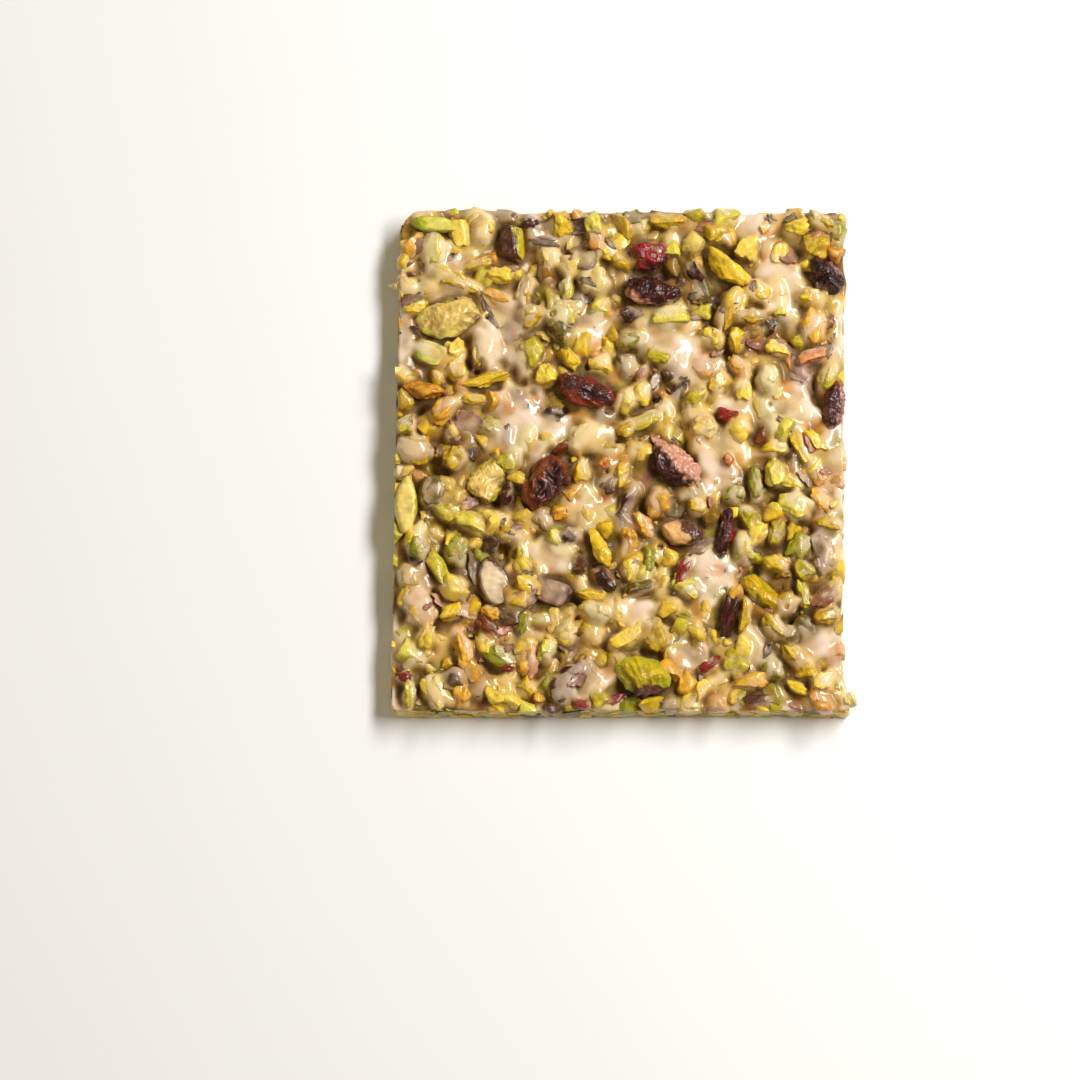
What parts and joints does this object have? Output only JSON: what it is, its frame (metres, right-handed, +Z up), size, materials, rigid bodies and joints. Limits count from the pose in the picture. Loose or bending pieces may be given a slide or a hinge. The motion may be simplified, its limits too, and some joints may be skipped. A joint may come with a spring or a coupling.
{
  "type": "nut brittle",
  "caption": "Flat, nearly rectangular tile of milky caramel set with chopped pistachios, whole kernels and dried cranberries.",
  "frame": {"origin": "middle of the flat underside", "axes": "+Z up out of the top face, +Y along the longer side, +X along the shorter side"},
  "size_m": [0.0993, 0.1115, 0.0104],
  "materials": {
    "caramel": "glossy, lumpy, milky caramel full of chopped pistachio",
    "kernel": "semi-matt nut with a thin caramel glaze",
    "cranberry": "wrinkled, glossy dried berry"
  },
  "bodies": {
    "root": {"brittle": "caramel", "pistachio_1": "kernel", "pistachio_2": "kernel", "pistachio_3": "kernel", "pistachio_4": "kernel", "pistachio_5": "kernel", "pistachio_6": "kernel", "pistachio_7": "kernel", "pistachio_8": "kernel", "pistachio_9": "kernel", "pistachio_10": "kernel", "pistachio_11": "kernel", "cranberry_1": "cranberry", "cranberry_2": "cranberry", "cranberry_3": "cranberry", "cranberry_4": "cranberry", "cranberry_5": "cranberry", "cranberry_6": "cranberry", "cranberry_7": "cranberry", "cranberry_8": "cranberry"}
  },
  "joints": []
}
